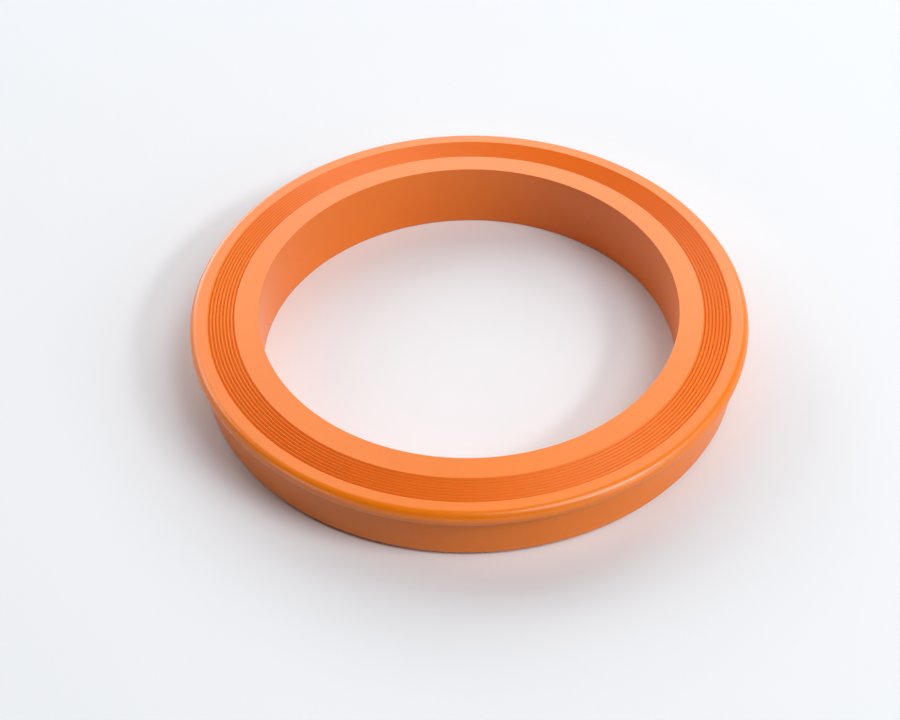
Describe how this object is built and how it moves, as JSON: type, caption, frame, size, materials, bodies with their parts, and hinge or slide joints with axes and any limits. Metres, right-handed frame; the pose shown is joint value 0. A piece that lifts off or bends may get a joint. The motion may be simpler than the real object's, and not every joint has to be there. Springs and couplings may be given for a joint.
{
  "type": "union seal ring",
  "caption": "Round moulded seal ring for a pipe union, with a plain bore, a serrated sealing face, a rounded bead at the rim and a plain outer wall that plugs into a recess.",
  "frame": {"origin": "centre of the bottom face, on the ring's axis", "axes": "+Z along the ring's axis, from the foot up to the serrated sealing face; the ring is round, so X and Y are any two directions across it"},
  "size_m": [0.1012, 0.1012, 0.0131],
  "materials": {
    "seal_elastomer": "smooth moulded orange elastomer, semi-gloss"
  },
  "bodies": {
    "root": {"seal_ring": "seal_elastomer"}
  },
  "joints": []
}
